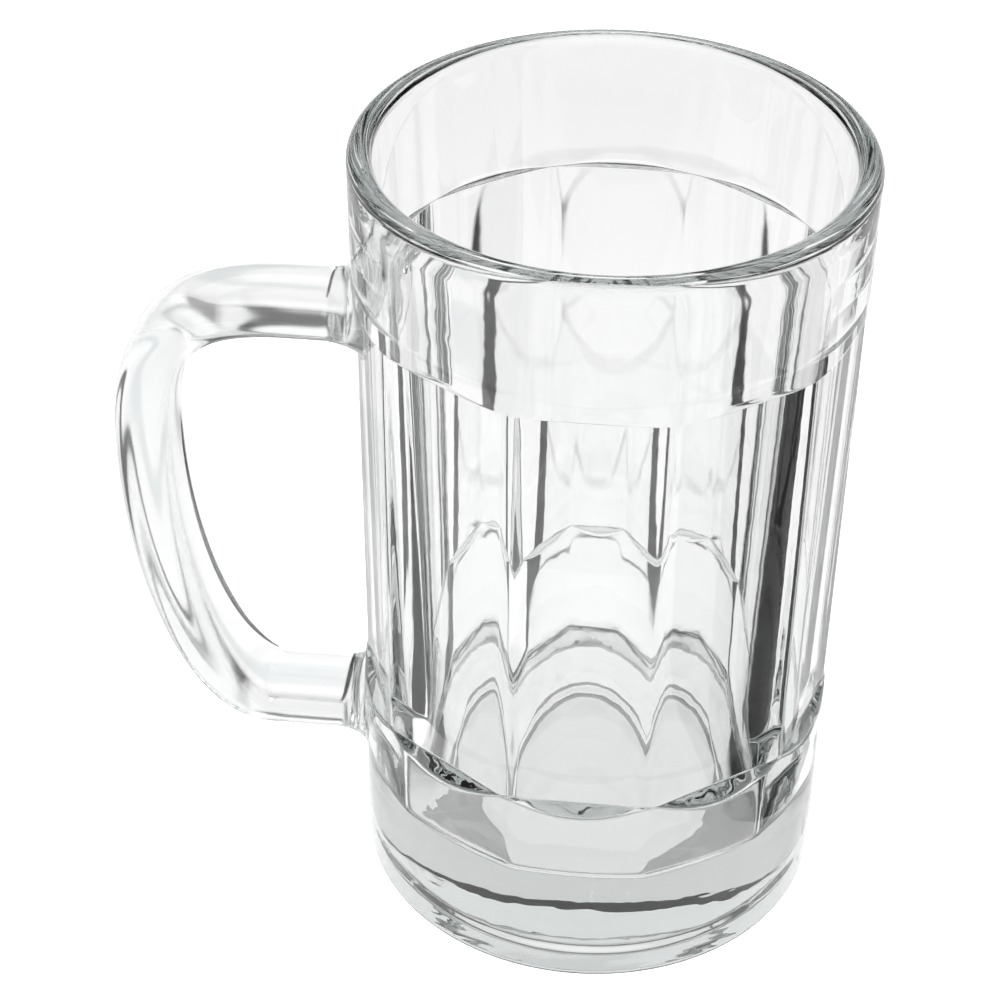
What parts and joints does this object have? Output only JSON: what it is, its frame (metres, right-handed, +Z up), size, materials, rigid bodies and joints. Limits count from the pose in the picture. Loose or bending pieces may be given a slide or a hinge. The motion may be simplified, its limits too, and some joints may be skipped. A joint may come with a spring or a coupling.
{
  "type": "glass beer mug",
  "caption": "Clear glass beer mug: a slightly tapered tumbler with flat pressed panels, a smooth rim band, a thick base and a solid D-shaped side handle.",
  "frame": {"origin": "centre of the flat underside, on the mug's axis, where it stands", "axes": "+Z up along the mug's axis, -X towards the handle, -Y towards the panel that faces the viewer with the handle on the left"},
  "size_m": [0.1334, 0.09, 0.152],
  "materials": {
    "body_glass": "clear pressed glass, fire polished, with a faint grey-green edge tint",
    "handle_glass": "clear solid glass bar, fire polished, with a faint grey-green edge tint"
  },
  "bodies": {
    "root": {"body": "body_glass", "handle": "handle_glass"}
  },
  "joints": []
}
